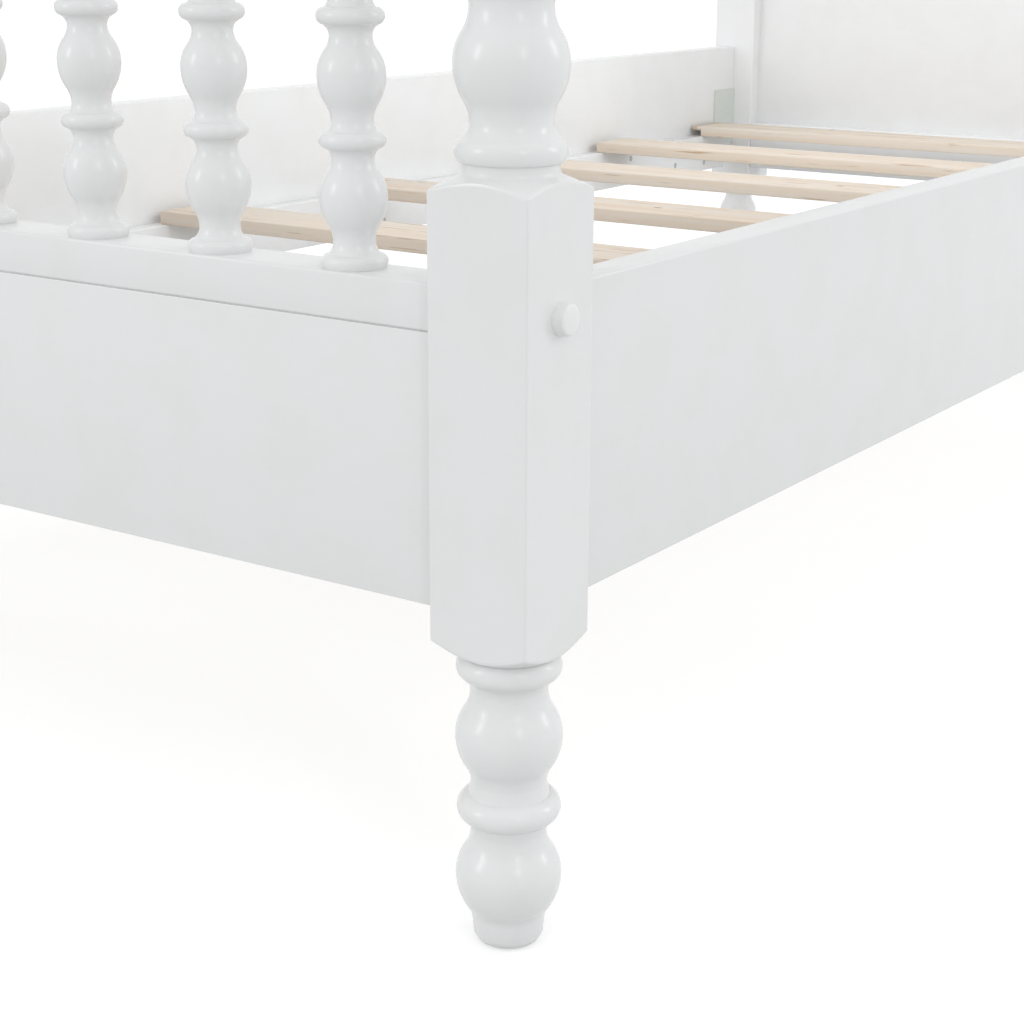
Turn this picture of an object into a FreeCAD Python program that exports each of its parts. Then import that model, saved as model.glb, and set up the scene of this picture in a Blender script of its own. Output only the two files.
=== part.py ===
"""Single spindle bed: turned posts and spindles, boarded ends, bolted and hooked frame, slatted deck.

Millimetres. The origin is on the floor at the middle of the bed, +Y runs to the head end, +X to the
right seen from the foot, +Z up. Posts, boards and rails meet by tenons in mortises, the side rails
hang on hook plates, and the slats lie on ledgers along the rails.
"""
import FreeCAD, Part
import math
import os

V = FreeCAD.Vector

# ---- Driving sizes -------------------------------------------------------------------------------
deck_width = 930.0            # between the side rails, for a mattress 900 wide
rail_length = 1960.0          # side rail, post face to post face
rail_underside = 193.0        # floor to side rail
rail_height = 168.0
rail_thickness = 23.0
rail_setback = 11.0           # rail's outer face behind the posts' outer faces
foot_post_size = 60.0
head_post_size = 66.0
edge_round = 3.0              # rounded top edges of the side rails
edge_ease = 1.5               # small chamfer on other long edges

# Foot end
board_height = 146.3
board_thickness = 22.0
board_setback = 5.5           # board and cap rail behind the front of the posts
shadow_gap = 1.0              # open joint line between board and cap rail
cap_rail_height = 22.4
cap_rail_depth = 36.0
top_rail_height = 45.0
top_rail_depth = 36.0

# Head end
head_rail_setback = 2.0
head_rail_depth = 42.0
head_rail_drop = 18.0         # lower rail hangs below the side rails
head_rail_ledge = 51.5        # top of the lower rail above the side rails' underside
panel_setback = 22.0          # panel's face behind the front of the posts
panel_thickness = 12.0
panel_top = 660.0             # floor to the middle rail
middle_rail_height = 24.0
head_block_drop = 35.5        # head post's square part ends this far below the side rails
foot_block_drop = 16.5

# Turned spindles
spindle_count = 9
spindle_bulbs = 3
spindle_neck = 11.0
spindle_crown = 17.3
spindle_ring = 17.0
spindle_pitch = 61.5          # from one bulb to the next
spindle_bulb_rise = 23.4      # neck to widest part
spindle_bulb_length = 42.4    # neck to neck
spindle_flange_edge = 4.0
spindle_flange_height = 13.6
spindle_pin_radius = 6.0
spindle_pin_length = 10.0
spindle_sides = 10            # flats that stand in for the round

# Turned parts of the posts
post_neck = 20.6
post_crown = 29.2
post_ring = 28.2
post_collar = 24.5
post_ring_to_neck = 13.6
post_bulb_rise = 26.0
post_bulb_length = 53.1
pommel_height = 10.0          # rounded shoulder of a square block
collar_to_ring = 8.7
leg_collar_to_ring = 6.1        # shorter under the lowest blocks
foot_tip = 18.8
foot_waist = 20.4
post_upper_block = 216.4      # top of the lower square block of a foot post, above the side rail's underside
block_over_rail = 12.0        # square block above a top rail
block_under_rail = 28.2       # and below it
finial_neck = 15.0
finial_neck_rise = 4.0
finial_crown = 25.0
finial_height = 54.0
finial_tip = 9.0
post_sides = 12
bulb_girth = 0.28             # share of a bulb's length at its full width

# Joints
fit_gap = 0.2                 # round a tenon, tongue or pin
tenon_length = 20.0
tenon_thickness = 12.0
tenon_shoulder = 10.0
tongue_height = 8.0
tongue_thickness = 10.0

# Hooked side rails
plate_length = 62.0
plate_height = 82.0
plate_thickness = 3.0
plate_above_rail = 22.0       # plate's lower edge above the rail's underside
hook_reach = 16.0
hook_height = 18.0
hook_throat = 7.0
hook_pin_radius = 3.0
hook_pin_length = 24.0
hook_slot_gap = 1.0

# Slatted deck
slat_count = 7
slat_width = 80.0
slat_thickness = 14.0
slat_first_gap = 84.0         # foot posts to the first slat
slat_last_gap = 56.0          # last slat to the head posts
slat_end_gap = 12.0
slat_top_height = 55.0        # above the side rails' underside
ledger_thickness = 22.0
ledger_height = 52.0
ledger_end_gap = 4.0          # between a ledger and a hook plate

# Cross bolts through the foot posts
bolt_radius = 4.0
bolt_drop = 3.5               # below the middle of the cap rail
bolt_head_radius = 7.0
bolt_head_height = 4.0
bolt_grip = 45.0              # reach into the cap rail
bolt_hole_gap = 0.5
barrel_radius = 6.0
barrel_length = 14.0
cap_radius = 9.0
cap_height = 7.0
cap_stem_radius = 5.0
cap_stem_length = 5.0
hardware_sides = 6

# ---- Sizes that follow ---------------------------------------------------------------------------
outer_half_width = deck_width / 2 + rail_thickness + rail_setback
half_length = (rail_length + foot_post_size + head_post_size) / 2
foot_front = -half_length
foot_back = foot_front + foot_post_size
head_front = foot_back + rail_length
foot_post_x = outer_half_width - foot_post_size / 2
foot_post_y = foot_front + foot_post_size / 2
head_post_x = outer_half_width - head_post_size / 2
head_post_y = head_front + head_post_size / 2
foot_span = 2 * (foot_post_x - foot_post_size / 2)
head_span = 2 * (head_post_x - head_post_size / 2)
rail_inner_x = deck_width / 2

board_front = foot_front + board_setback
cap_rail_base = rail_underside + board_height + shadow_gap
cap_rail_top = cap_rail_base + cap_rail_height
cap_rail_middle_y = board_front + cap_rail_depth / 2
spindle_length = 2 * spindle_flange_height + spindle_pitch * (spindle_bulbs - 1) + spindle_bulb_length
foot_top_rail_base = cap_rail_top + spindle_length
foot_top_rail_top = foot_top_rail_base + top_rail_height

head_rail_front = head_front + head_rail_setback
head_rail_middle_y = head_rail_front + head_rail_depth / 2
head_rail_base = rail_underside - head_rail_drop
head_rail_top = rail_underside + head_rail_ledge
panel_front = head_front + panel_setback
panel_middle_y = panel_front + panel_thickness / 2
middle_rail_top = panel_top + middle_rail_height
head_top_rail_base = middle_rail_top + spindle_length
head_top_rail_top = head_top_rail_base + top_rail_height

slat_pitch = (rail_length - slat_first_gap - slat_last_gap - slat_width) / (slat_count - 1)
slat_underside = rail_underside + slat_top_height - slat_thickness
ledger_base = slat_underside - ledger_height
bolt_height = cap_rail_base + cap_rail_height / 2 - bolt_drop


# ---- Forms ---------------------------------------------------------------------------------------
def block(low_x, low_y, low_z, size_x, size_y, size_z):
    return Part.makeBox(size_x, size_y, size_z, V(low_x, low_y, low_z))


def turning(outline, sides):
    """A turned piece upright on the Z axis, its outline given as (radius, height) from the bottom up."""
    rings = []
    for radius, height in outline:
        corners = []
        for step in range(sides + 1):
            angle = math.pi * (2 * (step % sides) + 1) / sides
            corners.append(V(radius * math.cos(angle), radius * math.sin(angle), height))
        rings.append(corners)
    faces = [Part.Face(Part.makePolygon(rings[0])), Part.Face(Part.makePolygon(rings[-1]))]
    for low, high in zip(rings, rings[1:]):
        for step in range(sides):
            side = [low[step], low[step + 1], high[step + 1], high[step], low[step]]
            faces.append(Part.Face(Part.makePolygon(side)))
    return Part.Solid(Part.Shell(faces))


def lie_along_x(shape):
    """Turn an upright piece so that its top points to +X."""
    return shape.rotate(V(0, 0, 0), V(0, 1, 0), 90)


def long_edges(shape, direction, above=-math.inf):
    """Edges that run along one axis and lie above a height."""
    chosen = []
    for edge in shape.Edges:
        run = edge.Vertexes[-1].Point - edge.Vertexes[0].Point
        if abs(abs(run.normalize().dot(direction)) - 1) < 1e-6 and edge.BoundBox.ZMin > above:
            chosen.append(edge)
    return chosen


def mirrored(shape):
    return shape.mirror(V(0, 0, 0), V(1, 0, 0))


def moved(shape, x, y, z):
    result = shape.copy()
    result.translate(V(x, y, z))
    return result


# ---- Turned outlines -----------------------------------------------------------------------------
def bulb_outline(neck, crown, base, rise, length):
    """Points of a bulb above its lower neck: the full girth, which takes bulb_girth of its length, and the upper neck."""
    low = base + (1 - bulb_girth) * rise
    high = base + rise + bulb_girth * (length - rise)
    return [(crown, low), (crown, high), (neck, base + length)]


def spindle_outline():
    points = [(spindle_pin_radius, -spindle_pin_length), (spindle_pin_radius, 0)]
    points += [(spindle_ring, 0), (spindle_ring, spindle_flange_edge)]
    points.append((spindle_neck, spindle_flange_height))
    for number in range(spindle_bulbs):
        base = spindle_flange_height + number * spindle_pitch
        points += bulb_outline(spindle_neck, spindle_crown, base, spindle_bulb_rise, spindle_bulb_length)
        if number < spindle_bulbs - 1:
            upper_neck = base + spindle_bulb_length
            points.append((spindle_ring, (upper_neck + base + spindle_pitch) / 2))
            points.append((spindle_neck, base + spindle_pitch))
    points.append((spindle_ring, spindle_length - spindle_flange_edge))
    points += [(spindle_ring, spindle_length), (spindle_pin_radius, spindle_length)]
    points.append((spindle_pin_radius, spindle_length + spindle_pin_length))
    return points


def shoulder_outline(block_edge, away, ring_rise):
    """Collar and ring beyond a square block's pommel: away is +1 upwards and -1 downwards."""
    collar = block_edge + away * pommel_height
    return [(post_collar, collar), (post_ring, collar + away * ring_rise)]


def leg_outline(block_corner, block_base):
    """Leg under a square block, from the floor up: foot, bulb, ring, bulb, ring, collar and pommel."""
    shoulder = shoulder_outline(block_base, -1, leg_collar_to_ring)
    upper_ring = shoulder[-1][1]
    upper_bulb_base = upper_ring - post_ring_to_neck - post_bulb_length
    lower_ring = upper_bulb_base - post_ring_to_neck
    lower_neck = lower_ring - post_ring_to_neck
    foot_top = 0.225 * lower_neck
    points = [(foot_tip, 0), (foot_waist, foot_top)]
    points += bulb_outline(post_neck, post_crown, foot_top, 0.48 * (lower_neck - foot_top), lower_neck - foot_top)
    points += [(post_ring, lower_ring), (post_neck, upper_bulb_base)]
    points += bulb_outline(post_neck, post_crown, upper_bulb_base, post_bulb_length - post_bulb_rise,
                           post_bulb_length)
    points += reversed(shoulder)
    points.append((block_corner, block_base))
    return points


def column_outline(block_corner, low_block, high_block):
    """Turned column between two square blocks, with as many bulbs as fit."""
    lower = shoulder_outline(low_block, 1, collar_to_ring)
    upper = shoulder_outline(high_block, -1, collar_to_ring)
    first_ring = lower[-1][1]
    last_ring = upper[-1][1]
    natural_pitch = 2 * post_ring_to_neck + post_bulb_length
    bulbs = max(1, round((last_ring - first_ring) / natural_pitch))
    pitch = (last_ring - first_ring) / bulbs
    stretch = pitch / natural_pitch
    points = [(block_corner, low_block)] + lower
    for number in range(bulbs):
        base = first_ring + number * pitch + stretch * post_ring_to_neck
        points.append((post_neck, base))
        points += bulb_outline(post_neck, post_crown, base, stretch * post_bulb_rise, stretch * post_bulb_length)
        if number < bulbs - 1:
            points.append((post_ring, first_ring + (number + 1) * pitch))
    points += reversed(upper)
    points.append((block_corner, high_block))
    return points


def finial_outline(block_corner, block_end):
    """Pommel, collar and ball on top of a post."""
    collar = block_end + pommel_height
    neck = collar + finial_neck_rise
    ball = finial_height - pommel_height - finial_neck_rise
    points = [(block_corner, block_end), (post_collar, collar), (finial_neck, neck)]
    points += bulb_outline(finial_neck, finial_crown, neck, ball / 2, ball)[:-1]
    points.append((finial_tip, neck + ball))
    return points


# ---- Posts ---------------------------------------------------------------------------------------
def post_blank(size, block_base, low_block_top, high_block_base, high_block_top):
    """Square stock turned between its blocks: the turned outline stands clear of the stock's corners there."""
    block_corner = 1.03 * size / math.sqrt(2)
    outline = leg_outline(block_corner, block_base)
    outline += column_outline(block_corner, low_block_top, high_block_base)
    outline += finial_outline(block_corner, high_block_top)
    height = high_block_top + finial_height
    stock = block(-size / 2, -size / 2, 0, size, size, height)
    return stock.common(turning(outline, post_sides))


def tenon_room(tenon):
    """The mortise that a tenon box (low corner, sizes) needs, with the fit gap on every side."""
    x, y, z, size_x, size_y, size_z = tenon
    gap = fit_gap
    return block(x - gap, y - gap, z - gap, size_x + 2 * gap, size_y + 2 * gap, size_z + 2 * gap)


def right_tenon(span, middle_y, base, height):
    """Box of the tenon on the +X end of a board or rail between two posts."""
    return (span / 2 - 1, middle_y - tenon_thickness / 2, base + tenon_shoulder / 2,
            tenon_length + 1, tenon_thickness, height - tenon_shoulder)


foot_board_tenon = right_tenon(foot_span, board_front + board_thickness / 2, rail_underside, board_height)
cap_rail_tenon = right_tenon(foot_span, cap_rail_middle_y, cap_rail_base, cap_rail_height)
foot_top_tenon = right_tenon(foot_span, cap_rail_middle_y, foot_top_rail_base, top_rail_height)
head_low_tenon = right_tenon(head_span, head_rail_middle_y, head_rail_base, head_rail_top - head_rail_base)
middle_rail_tenon = right_tenon(head_span, head_rail_middle_y, panel_top, middle_rail_height)
head_top_tenon = right_tenon(head_span, head_rail_middle_y, head_top_rail_base, top_rail_height)


def hook_slot(post_face, inward):
    """Slot for the hooks of one plate: inward is the direction along Y from the post's face into it."""
    width = plate_thickness + 2 * hook_slot_gap
    depth = hook_reach + hook_slot_gap
    low_y = post_face if inward > 0 else post_face - depth
    low_z = rail_underside + plate_above_rail
    return block(rail_inner_x - plate_thickness - hook_slot_gap, low_y, low_z - hook_slot_gap,
                 width, depth, plate_height + 2 * hook_slot_gap)


def pin_places(post_face, inward):
    """Centres of the two cross pins behind the face of a post."""
    middle_x = rail_inner_x - plate_thickness / 2
    y = post_face + inward * (hook_throat + hook_pin_radius - 2 * fit_gap)
    low = rail_underside + plate_above_rail + hook_height / 2
    high = low + plate_height - 2 * hook_height
    return [V(middle_x, y, low), V(middle_x, y, high)]


def hook_pin(place, gap):
    bar = turning([(hook_pin_radius + gap, -gap), (hook_pin_radius + gap, hook_pin_length + gap)], hardware_sides)
    return moved(lie_along_x(bar), place.x - hook_pin_length / 2, place.y, place.z)


def right_pins(gap):
    pins = [hook_pin(place, gap) for place in pin_places(foot_back, -1)]
    pins += [hook_pin(place, gap) for place in pin_places(head_front, 1)]
    return pins


def right_bolt(gap):
    """Cross bolt with its head sunk in the foot post, and the stem of the cover cap outside it."""
    head_start = outer_half_width - cap_stem_length - bolt_head_height
    tip = foot_span / 2 - bolt_grip
    shank = turning([(bolt_radius + gap, tip - gap), (bolt_radius + gap, head_start)], hardware_sides)
    head = turning([(bolt_head_radius + gap, head_start - gap), (bolt_head_radius + gap, head_start + bolt_head_height)],
                   hardware_sides)
    return moved(lie_along_x(shank.fuse(head)), 0, foot_post_y, bolt_height)


def right_foot_post():
    top_block = foot_top_rail_base - block_under_rail
    post = post_blank(foot_post_size, rail_underside - foot_block_drop, rail_underside + post_upper_block,
                      top_block, foot_top_rail_top + block_over_rail)
    post = moved(post, foot_post_x, foot_post_y, 0)
    for tenon in (foot_board_tenon, cap_rail_tenon, foot_top_tenon):
        post = post.cut(tenon_room(tenon))
    post = post.cut(hook_slot(foot_back, -1))
    for place in pin_places(foot_back, -1):
        post = post.cut(hook_pin(place, fit_gap))
    cap_room = turning([(bolt_head_radius + bolt_hole_gap, -cap_stem_length), (bolt_head_radius + bolt_hole_gap, 1)],
                       hardware_sides)
    post = post.cut(moved(lie_along_x(cap_room), outer_half_width, foot_post_y, bolt_height))
    return post.cut(right_bolt(bolt_hole_gap))


def right_head_post():
    top_block = head_top_rail_base - block_under_rail
    post = post_blank(head_post_size, rail_underside - head_block_drop, middle_rail_top + block_over_rail,
                      top_block, head_top_rail_top + block_over_rail)
    post = moved(post, head_post_x, head_post_y, 0)
    for tenon in (head_low_tenon, middle_rail_tenon, head_top_tenon):
        post = post.cut(tenon_room(tenon))
    panel_edge = (head_span / 2 - 1, panel_front, head_rail_top - 1, tongue_height + 1, panel_thickness,
                  panel_top - head_rail_top + 2)
    post = post.cut(tenon_room(panel_edge))
    post = post.cut(hook_slot(head_front, 1))
    for place in pin_places(head_front, 1):
        post = post.cut(hook_pin(place, fit_gap))
    return post


# ---- Boards and rails of the two ends ------------------------------------------------------------
def cross_rail(span, front, base, depth, height, right_end):
    """A rail between two posts with eased edges and a tenon at each end."""
    rail = block(-span / 2, front, base, span, depth, height)
    rail = rail.makeChamfer(edge_ease, long_edges(rail, V(1, 0, 0)))
    tenon = block(*right_end)
    return rail.fuse([tenon, mirrored(tenon)])


def spindle_places(span, middle_y):
    """Spindle axes, evenly spaced between the axes of the two posts."""
    gap = span / (spindle_count + 1)
    return [V((number + 1) * gap - span / 2, middle_y, 0) for number in range(spindle_count)]


foot_spindle_places = spindle_places(2 * foot_post_x, cap_rail_middle_y)
head_spindle_places = spindle_places(2 * head_post_x, head_rail_middle_y)


def drill_for_spindles(rail, places, opening, downwards):
    """Blind holes for the spindles' pins, from the rail's face at one height."""
    radius = spindle_pin_radius + fit_gap
    depth = spindle_pin_length + fit_gap
    low, high = (opening - depth, opening + 1) if downwards else (opening - 1, opening + depth)
    hole = turning([(radius, low), (radius, high)], spindle_sides)
    return rail.cut([moved(hole, place.x, place.y, 0) for place in places])


def foot_board():
    board = block(-foot_span / 2, board_front, rail_underside, foot_span, board_thickness, board_height)
    tongue = block(-foot_span / 2, board_front + (board_thickness - tongue_thickness) / 2,
                   rail_underside + board_height - 1, foot_span, tongue_thickness, shadow_gap + tongue_height + 1)
    tenon = block(*foot_board_tenon)
    return board.fuse([tongue, tenon, mirrored(tenon)]).removeSplitter()


def upright_barrel(low, high, radius):
    """Bar across the tip of the right-hand bolt."""
    x = foot_span / 2 - bolt_grip + barrel_radius + 2
    return moved(turning([(radius, low), (radius, high)], hardware_sides), x, foot_post_y, 0)


def right_barrel_nut():
    nut = upright_barrel(bolt_height - barrel_length / 2, bolt_height + barrel_length / 2, barrel_radius)
    return nut.cut(right_bolt(bolt_hole_gap))


def right_barrel_hole():
    """Hole for the nut, drilled from under the cap rail."""
    return upright_barrel(cap_rail_base - 1, bolt_height + barrel_length / 2 + fit_gap, barrel_radius + fit_gap)


def foot_cap_rail():
    rail = cross_rail(foot_span, board_front, cap_rail_base, cap_rail_depth, cap_rail_height, cap_rail_tenon)
    groove = block(-foot_span / 2 - 1, board_front + (board_thickness - tongue_thickness) / 2 - fit_gap,
                   cap_rail_base - 1, foot_span + 2, tongue_thickness + 2 * fit_gap, tongue_height + fit_gap + 1)
    cuts = [groove, right_bolt(bolt_hole_gap), right_barrel_hole()]
    cuts += [mirrored(shape) for shape in cuts[1:]]
    rail = rail.cut(cuts)
    return drill_for_spindles(rail, foot_spindle_places, cap_rail_top, True)


def foot_top_rail():
    rail = cross_rail(foot_span, board_front, foot_top_rail_base, top_rail_depth, top_rail_height, foot_top_tenon)
    return drill_for_spindles(rail, foot_spindle_places, foot_top_rail_base, False)


def panel_groove(low_z):
    """Groove along a head rail for the panel's edge."""
    return block(-head_span / 2 - 1, panel_front - fit_gap, low_z, head_span + 2,
                 panel_thickness + 2 * fit_gap, tongue_height + fit_gap + 1)


def head_lower_rail():
    rail = cross_rail(head_span, head_rail_front, head_rail_base, head_rail_depth,
                      head_rail_top - head_rail_base, head_low_tenon)
    return rail.cut(panel_groove(head_rail_top - tongue_height - fit_gap))


def head_middle_rail():
    rail = cross_rail(head_span, head_rail_front, panel_top, head_rail_depth, middle_rail_height,
                      middle_rail_tenon)
    rail = rail.cut(panel_groove(panel_top - 1))
    return drill_for_spindles(rail, head_spindle_places, middle_rail_top, True)


def head_top_rail():
    rail = cross_rail(head_span, head_rail_middle_y - top_rail_depth / 2, head_top_rail_base, top_rail_depth,
                      top_rail_height, head_top_tenon)
    return drill_for_spindles(rail, head_spindle_places, head_top_rail_base, False)


def head_panel():
    """Flat panel held on all four sides in grooves."""
    edge = tongue_height - fit_gap
    return block(-head_span / 2 - edge, panel_front, head_rail_top - edge, head_span + 2 * edge,
                 panel_thickness, panel_top - head_rail_top + 2 * edge)


# ---- Side rails, hooks and deck ------------------------------------------------------------------
def right_side_rail():
    rail = block(rail_inner_x, foot_back, rail_underside, rail_thickness, rail_length, rail_height)
    return rail.makeFillet(edge_round, long_edges(rail, V(0, 1, 0), rail_underside + rail_height / 2))


def right_hook_plate(post_face, inward):
    """Plate on the rail's inner face, with two hooks that drop over the post's cross pins."""
    low_z = rail_underside + plate_above_rail
    low_x = rail_inner_x - plate_thickness
    low_y = post_face if inward < 0 else post_face - plate_length
    plate = block(low_x, low_y, low_z, plate_thickness, plate_length, plate_height)
    for place in pin_places(post_face, inward):
        hook_base = place.z - hook_height / 2
        hook_y = post_face - 1 if inward > 0 else post_face - hook_reach
        hook = block(low_x, hook_y, hook_base, plate_thickness, hook_reach + 1, hook_height)
        throat_y = place.y - hook_pin_radius - fit_gap
        throat = block(low_x - 1, throat_y, hook_base - 1, plate_thickness + 2,
                       2 * (hook_pin_radius + fit_gap), hook_height / 2 + 1)
        seat = hook_pin(place, fit_gap)
        plate = plate.fuse(hook.cut([throat, seat]))
    return plate.removeSplitter()


def right_ledger():
    low_y = foot_back + plate_length + ledger_end_gap
    length = rail_length - 2 * (plate_length + ledger_end_gap)
    return block(rail_inner_x - ledger_thickness, low_y, ledger_base, ledger_thickness, length, ledger_height)


def slat(number):
    length = deck_width - 2 * slat_end_gap
    low_y = foot_back + slat_first_gap + number * slat_pitch
    board = block(-length / 2, low_y, slat_underside, length, slat_width, slat_thickness)
    return board.makeChamfer(edge_ease, long_edges(board, V(1, 0, 0)))


def right_bolt_cap():
    """Domed cover over the bolt's head, with a stem in the bolt's hole."""
    outline = [(cap_stem_radius, -cap_stem_length + fit_gap), (cap_stem_radius, 0), (cap_radius, 0)]
    outline += [(cap_radius, 0.4 * cap_height), (0.75 * cap_radius, 0.85 * cap_height)]
    outline.append((0.35 * cap_radius, cap_height))
    return moved(lie_along_x(turning(outline, spindle_sides)), outer_half_width, foot_post_y, bolt_height)


# ---- Assembly ------------------------------------------------------------------------------------
def both_sides(shapes):
    return Part.makeCompound(shapes + [mirrored(shape) for shape in shapes])


def build():
    pieces = {}
    for name, shape in (("foot_post", right_foot_post()), ("head_post", right_head_post()),
                        ("side_rail", right_side_rail()), ("ledger", right_ledger()),
                        ("rail_hook_foot", right_hook_plate(foot_back, -1)),
                        ("rail_hook_head", right_hook_plate(head_front, 1))):
        pieces[name + "_right"] = shape
        pieces[name + "_left"] = mirrored(shape)
    pieces["foot_board"] = foot_board()
    pieces["foot_cap_rail"] = foot_cap_rail()
    pieces["foot_top_rail"] = foot_top_rail()
    pieces["head_lower_rail"] = head_lower_rail()
    pieces["head_panel"] = head_panel()
    pieces["head_middle_rail"] = head_middle_rail()
    pieces["head_top_rail"] = head_top_rail()
    spindle = turning(spindle_outline(), spindle_sides)
    for number, place in enumerate(foot_spindle_places, 1):
        pieces["foot_spindle_%d" % number] = moved(spindle, place.x, place.y, cap_rail_top)
    for number, place in enumerate(head_spindle_places, 1):
        pieces["head_spindle_%d" % number] = moved(spindle, place.x, place.y, middle_rail_top)
    for number in range(slat_count):
        pieces["slat_%d" % (number + 1)] = slat(number)
    pieces["hook_pins"] = both_sides(right_pins(0))
    pieces["post_bolts"] = both_sides([right_bolt(0)])
    pieces["barrel_nuts"] = both_sides([right_barrel_nut()])
    pieces["bolt_caps"] = both_sides([right_bolt_cap()])
    return pieces


os.makedirs("parts", exist_ok=True)
for name, shape in build().items():
    assert shape.isValid(), name
    shape.exportStep(os.path.join("parts", name + ".step"))
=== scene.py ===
"""Looks of a white single spindle bed: lathe-turned posts and spindles, eased boards, pine slats and steel fittings.

Sizes are in millimetres until a mesh is made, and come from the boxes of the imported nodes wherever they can.
"""
import math

import bpy
import numpy as np
from mathutils import Matrix, Vector


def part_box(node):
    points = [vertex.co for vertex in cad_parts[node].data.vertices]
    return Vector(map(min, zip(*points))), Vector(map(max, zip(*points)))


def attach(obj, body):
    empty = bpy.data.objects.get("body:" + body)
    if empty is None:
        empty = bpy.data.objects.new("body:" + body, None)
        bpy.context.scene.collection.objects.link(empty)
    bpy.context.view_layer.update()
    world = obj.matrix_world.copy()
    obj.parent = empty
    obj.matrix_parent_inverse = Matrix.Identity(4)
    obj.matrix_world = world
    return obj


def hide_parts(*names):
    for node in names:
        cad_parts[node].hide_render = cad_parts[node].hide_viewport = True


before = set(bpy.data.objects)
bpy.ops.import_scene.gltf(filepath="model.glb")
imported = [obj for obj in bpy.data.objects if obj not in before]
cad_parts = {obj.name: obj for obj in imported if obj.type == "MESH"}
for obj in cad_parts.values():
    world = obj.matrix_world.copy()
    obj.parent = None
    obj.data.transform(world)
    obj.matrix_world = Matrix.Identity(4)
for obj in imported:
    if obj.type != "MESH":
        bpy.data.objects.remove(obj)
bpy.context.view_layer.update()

MM = 0.001
FULL_TURN = 2 * np.pi
LONG_AXIS_X, LONG_AXIS_Y, UPRIGHT_AXIS = 0, 1, 2


def node_box(node):
    """Lowest and highest corner of a node, in millimetres."""
    low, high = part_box(node)
    return np.array(low) / MM, np.array(high) / MM


# ---- Sizes ---------------------------------------------------------------------------------------
rail_low, rail_high = node_box("side_rail_right")
cap_low, cap_high = node_box("foot_cap_rail")
foot_top_low, foot_top_high = node_box("foot_top_rail")
middle_low, middle_high = node_box("head_middle_rail")
head_top_low, head_top_high = node_box("head_top_rail")
foot_reach = node_box("foot_post_right")[0][0]    # half the clear width between the foot posts
head_reach = node_box("head_post_right")[0][0]
slat_reach = node_box("slat_1")[1][0]

# Square blocks of the posts, and the pommels where they turn round.
foot_block_drop = 16.5
head_block_drop = 35.5
foot_lower_block_top = rail_low[2] + 216.4
block_over_rail = 12.0
block_under_rail = 28.2
post_ease = 1.3
collar_radius = 24.5
upper_pommel_rise = 7.6
lower_pommel_rise = 9.7
collar_foot = 7.2               # from a block's end up to the collar's fillet
fillet_height = 2.4
collar_end = 13.2
upper_ring = 18.7               # from a block's end to the crest of the ring next to it
lower_ring = 16.2

# Turned columns and legs: rings, necks and bulbs in turn.
post_ring_radius = 28.3
post_neck_radius = 20.8
post_crown_radius = 28.8
ring_to_neck = 13.5
neck_to_crown = 26.8
crown_to_neck = 26.0
leg_ring_half = 7.8
leg_ring_to_neck = 13.3
leg_neck_radius = 20.5
post_pitch = 2 * ring_to_neck + neck_to_crown + crown_to_neck
bulb_share = 0.65
upper_bulb_share = 0.56

finial_radius = 25.0
finial_half_height = 20.0
finial_neck_radius = 14.6

# Spindles: a flange on each rail, and bulbs with rings between them.
spindle_neck_radius = 11.1
spindle_crown_radius = 17.8
spindle_ring_radius = 17.6
spindle_flange_height = 13.6
spindle_pitch = 61.5
spindle_neck_to_crown = 22.9
spindle_bulb_length = 42.4
spindle_bulbs = 3
flange_rim_height = 3.5
flange_step_height = 7.0
flange_step_radius = 14.5

# Foot board and its cap rail: the open line between them, and how far it lies below the cap's node.
joint_drop = 2.0
joint_line = 0.6
tongue_inset_front = 1.6
tongue_inset_back = 6.0
cap_ease = 1.2

slat_ease = 1.5
lip_reach = 8.5                 # thin lip past the left end of the last slat
lip_underside = 9.0
rebate_length = 6.5
cap_rim_height = 2.4
cap_edge = 1.4
screw_radius = 4.0
plate_screw_radius = 4.2

# Places along a ledger from its foot end, and heights over its underside.
ledger_screw_places = [(98, 14), (388, 37), (678, 14), (968, 14), (1258, 37), (1547, 37), (1677, 15), (1766, 12)]


# ---- Mesh making ---------------------------------------------------------------------------------
def grid_faces(rows, columns, first=0):
    """Quads of a tube-like grid: each row is joined to the next, and the last column to the first."""
    row = np.arange(rows - 1)[:, None] * columns
    column = np.arange(columns)[None, :]
    following = (column + 1) % columns
    corners = (row + column, row + following, row + columns + following, row + columns + column)
    return (np.stack(corners, axis=-1).reshape(-1, 4) + first).tolist()


def tube(grid):
    """Closed surface of a (rows, columns, 3) grid that wraps round its columns, with both ends capped flat."""
    rows, columns = grid.shape[:2]
    faces = grid_faces(rows, columns)
    faces.append(list(range(columns))[::-1])
    faces.append(list(range((rows - 1) * columns, rows * columns)))
    return grid.reshape(-1, 3), faces


def make_piece(name, surfaces, material, node=None, sharp=math.radians(50)):
    """One object from a list of closed surfaces in millimetres, riding on the bed's single body."""
    vertices, faces = [], []
    for points, corners in surfaces:
        start = sum(len(part) for part in vertices)
        vertices.append(points)
        faces += [[index + start for index in corner] for corner in corners]
    mesh = bpy.data.meshes.new(name)
    mesh.from_pydata((np.vstack(vertices) * MM).tolist(), [], faces)
    mesh.validate()
    mesh.shade_smooth()
    mesh.set_sharp_from_angle(angle=sharp)
    mesh.materials.append(material)
    piece = bpy.data.objects.new(name, mesh)
    bpy.context.scene.collection.objects.link(piece)
    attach(piece, "root")
    if node:
        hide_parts(node)
    return piece


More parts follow.
